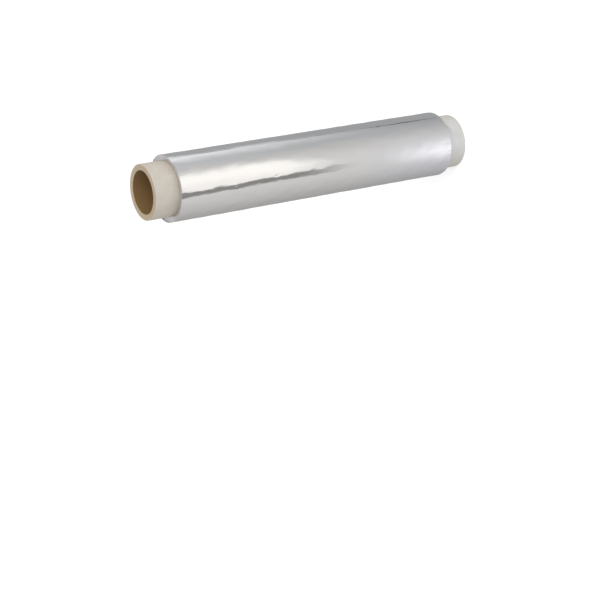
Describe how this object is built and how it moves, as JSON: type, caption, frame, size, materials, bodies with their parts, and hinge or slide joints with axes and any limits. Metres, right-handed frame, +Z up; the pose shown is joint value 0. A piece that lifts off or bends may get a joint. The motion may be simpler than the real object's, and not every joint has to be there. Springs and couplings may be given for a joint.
{
  "type": "aluminium foil roll",
  "caption": "Household aluminium foil wound tight on a thick card core that stands out of the foil at both ends.",
  "frame": {"origin": "centre of the core's lower cut end, on the surface that the roll stands on", "axes": "+Z up the core's axis; -Y is the side seen in the picture, with the foil's free edge towards +X"},
  "size_m": [0.061, 0.061, 0.333],
  "materials": {
    "foil": "bright rolled foil",
    "core_card": "spiral-wound card faced with off-white paper, brown inside"
  },
  "bodies": {
    "root": {"core_tube": "core_card", "foil_winding": "foil"}
  },
  "joints": []
}
